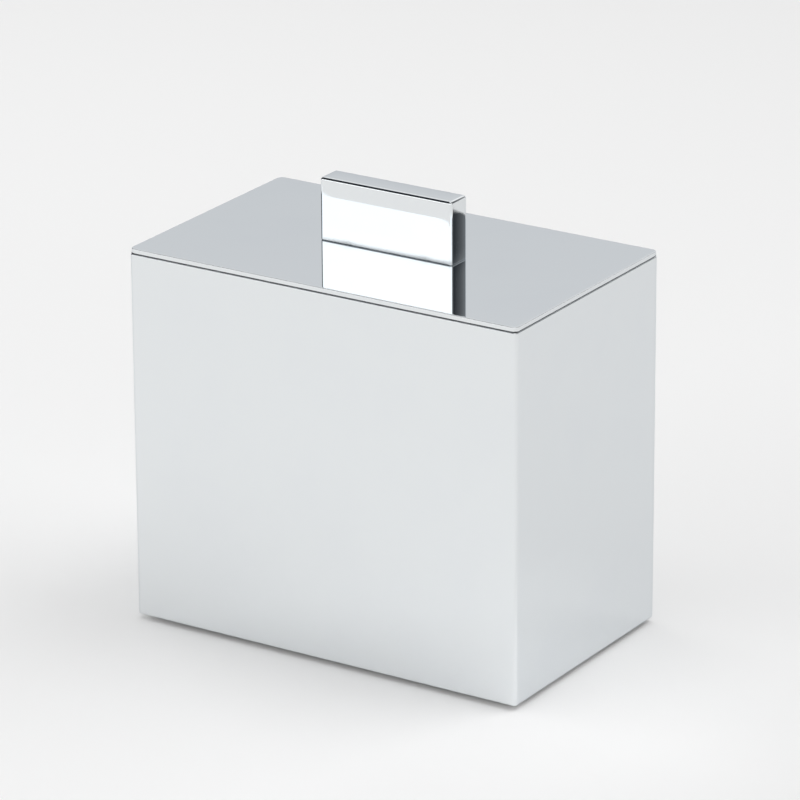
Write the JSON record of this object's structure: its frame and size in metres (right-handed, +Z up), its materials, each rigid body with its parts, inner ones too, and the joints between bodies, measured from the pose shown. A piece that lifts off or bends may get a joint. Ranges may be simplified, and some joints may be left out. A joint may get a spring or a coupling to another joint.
{
  "type": "cotton ball box",
  "caption": "Free-standing rectangular box in mirror-polished chrome with a flat lift-off lid and a solid bar handle, standing on a recessed dark rubber pad, for cotton balls or pads.",
  "frame": {"origin": "middle of the footprint, on the surface that the box stands on", "axes": "+Z up, +X along the long side to the right, +Y from the front to the back"},
  "size_m": [0.14, 0.084, 0.1444],
  "materials": {
    "polished_chrome": "mirror-polished chrome plate on brass",
    "satin_plate": "satin nickel plate, as the hidden inner pieces have",
    "zinc_steel": "bright zinc-plated steel",
    "pad_rubber": "matt dark rubber sheet, 1.6 mm thick",
    "gasket_silicone": "smooth dark silicone"
  },
  "bodies": {
    "box": {"body_walls": "polished_chrome", "floor_plate": "satin_plate", "base_pad": "pad_rubber"},
    "lid": {"lid_plate": "polished_chrome", "locating_frame": "satin_plate", "lid_gasket": "gasket_silicone", "handle_block": "polished_chrome", "handle_screws": "zinc_steel", "screw_washers": "zinc_steel"}
  },
  "joints": [
    {"name": "lid_lift", "type": "slide", "parent": "box", "child": "lid", "axis": [0, 0, 1], "range_m": [0, 0.1]}
  ]
}
